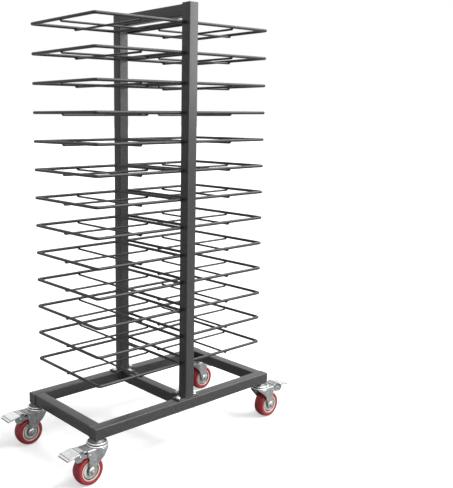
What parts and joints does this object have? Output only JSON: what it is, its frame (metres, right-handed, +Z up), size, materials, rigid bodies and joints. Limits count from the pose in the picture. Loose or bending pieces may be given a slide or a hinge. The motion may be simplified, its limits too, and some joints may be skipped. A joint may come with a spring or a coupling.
{
  "type": "art drying rack",
  "caption": "Mobile double-sided drying rack: wire shelves on both faces of two posts, on a tube base with braked swivel casters.",
  "frame": {"origin": "on the floor, under the middle of the rack", "axes": "+Z up along the posts, +X along the base, +Y across it towards the back post"},
  "size_m": [1.088, 0.464, 1.5895],
  "materials": {
    "charcoal_coat": "charcoal powder coat with a fine grain",
    "zinc_plate": "zinc-plated pressed steel",
    "bright_zinc": "bright zinc plate",
    "pale_core": "moulded pale grey core",
    "red_tread": "red polyurethane, satin"
  },
  "bodies": {
    "rack": {"base_frame": "charcoal_coat", "front_post": "charcoal_coat", "back_post": "charcoal_coat", "top_beam": "charcoal_coat", "foot_bolt_front_left": "bright_zinc", "foot_bolt_front_right": "bright_zinc", "foot_bolt_front_inner": "bright_zinc", "foot_bolt_back_left": "bright_zinc", "foot_bolt_back_right": "bright_zinc", "foot_bolt_back_inner": "bright_zinc", "shelf_left_01": "charcoal_coat", "shelf_right_01": "charcoal_coat", "shelf_left_02": "charcoal_coat", "shelf_right_02": "charcoal_coat", "shelf_left_03": "charcoal_coat", "shelf_right_03": "charcoal_coat", "shelf_left_04": "charcoal_coat", "shelf_right_04": "charcoal_coat", "shelf_left_05": "charcoal_coat", "shelf_right_05": "charcoal_coat", "shelf_left_06": "charcoal_coat", "shelf_right_06": "charcoal_coat", "shelf_left_07": "charcoal_coat", "shelf_right_07": "charcoal_coat", "shelf_left_08": "charcoal_coat", "shelf_right_08": "charcoal_coat", "shelf_left_09": "charcoal_coat", "shelf_right_09": "charcoal_coat", "shelf_left_10": "charcoal_coat", "shelf_right_10": "charcoal_coat", "shelf_left_11": "charcoal_coat", "shelf_right_11": "charcoal_coat", "shelf_left_12": "charcoal_coat", "shelf_right_12": "charcoal_coat", "shelf_left_13": "charcoal_coat", "shelf_right_13": "charcoal_coat", "caster_front_left_race": "zinc_plate", "caster_front_right_race": "zinc_plate", "caster_back_left_race": "zinc_plate", "caster_back_right_race": "zinc_plate"},
    "swivel_front_left": {"caster_front_left_fork": "zinc_plate", "caster_front_left_axle_bolt": "bright_zinc"},
    "wheel_front_left": {"caster_front_left_wheel_core": "pale_core", "caster_front_left_wheel_tread": "red_tread"},
    "pedal_front_left": {"caster_front_left_brake_pedal": "bright_zinc"},
    "swivel_front_right": {"caster_front_right_fork": "zinc_plate", "caster_front_right_axle_bolt": "bright_zinc"},
    "wheel_front_right": {"caster_front_right_wheel_core": "pale_core", "caster_front_right_wheel_tread": "red_tread"},
    "pedal_front_right": {"caster_front_right_brake_pedal": "bright_zinc"},
    "swivel_back_left": {"caster_back_left_fork": "zinc_plate", "caster_back_left_axle_bolt": "bright_zinc"},
    "wheel_back_left": {"caster_back_left_wheel_core": "pale_core", "caster_back_left_wheel_tread": "red_tread"},
    "pedal_back_left": {"caster_back_left_brake_pedal": "bright_zinc"},
    "swivel_back_right": {"caster_back_right_fork": "zinc_plate", "caster_back_right_axle_bolt": "bright_zinc"},
    "wheel_back_right": {"caster_back_right_wheel_core": "pale_core", "caster_back_right_wheel_tread": "red_tread"},
    "pedal_back_right": {"caster_back_right_brake_pedal": "bright_zinc"}
  },
  "joints": [
    {"name": "caster_front_left_swivel", "type": "hinge", "parent": "rack", "child": "swivel_front_left", "pos_m": [-0.405, -0.195, 0.13], "axis": [0, 0, 1], "continuous": true},
    {"name": "caster_front_left_roll", "type": "hinge", "parent": "swivel_front_left", "child": "wheel_front_left", "pos_m": [-0.4446, -0.195, 0.0525], "axis": [0, 1, 0], "continuous": true},
    {"name": "caster_front_left_brake", "type": "hinge", "parent": "swivel_front_left", "child": "pedal_front_left", "pos_m": [-0.453, -0.195, 0.1115], "axis": [0, -1, 0], "range_deg": [0, 12]},
    {"name": "caster_front_right_swivel", "type": "hinge", "parent": "rack", "child": "swivel_front_right", "pos_m": [0.405, -0.195, 0.13], "axis": [0, 0, 1], "continuous": true},
    {"name": "caster_front_right_roll", "type": "hinge", "parent": "swivel_front_right", "child": "wheel_front_right", "pos_m": [0.4446, -0.195, 0.0525], "axis": [0, 1, 0], "continuous": true},
    {"name": "caster_front_right_brake", "type": "hinge", "parent": "swivel_front_right", "child": "pedal_front_right", "pos_m": [0.453, -0.195, 0.1115], "axis": [0, 1, 0], "range_deg": [0, 12]},
    {"name": "caster_back_left_swivel", "type": "hinge", "parent": "rack", "child": "swivel_back_left", "pos_m": [-0.405, 0.195, 0.13], "axis": [0, 0, 1], "continuous": true},
    {"name": "caster_back_left_roll", "type": "hinge", "parent": "swivel_back_left", "child": "wheel_back_left", "pos_m": [-0.4446, 0.195, 0.0525], "axis": [0, 1, 0], "continuous": true},
    {"name": "caster_back_left_brake", "type": "hinge", "parent": "swivel_back_left", "child": "pedal_back_left", "pos_m": [-0.453, 0.195, 0.1115], "axis": [0, -1, 0], "range_deg": [0, 12]},
    {"name": "caster_back_right_swivel", "type": "hinge", "parent": "rack", "child": "swivel_back_right", "pos_m": [0.405, 0.195, 0.13], "axis": [0, 0, 1], "continuous": true},
    {"name": "caster_back_right_roll", "type": "hinge", "parent": "swivel_back_right", "child": "wheel_back_right", "pos_m": [0.4446, 0.195, 0.0525], "axis": [0, 1, 0], "continuous": true},
    {"name": "caster_back_right_brake", "type": "hinge", "parent": "swivel_back_right", "child": "pedal_back_right", "pos_m": [0.453, 0.195, 0.1115], "axis": [0, 1, 0], "range_deg": [0, 12]}
  ]
}
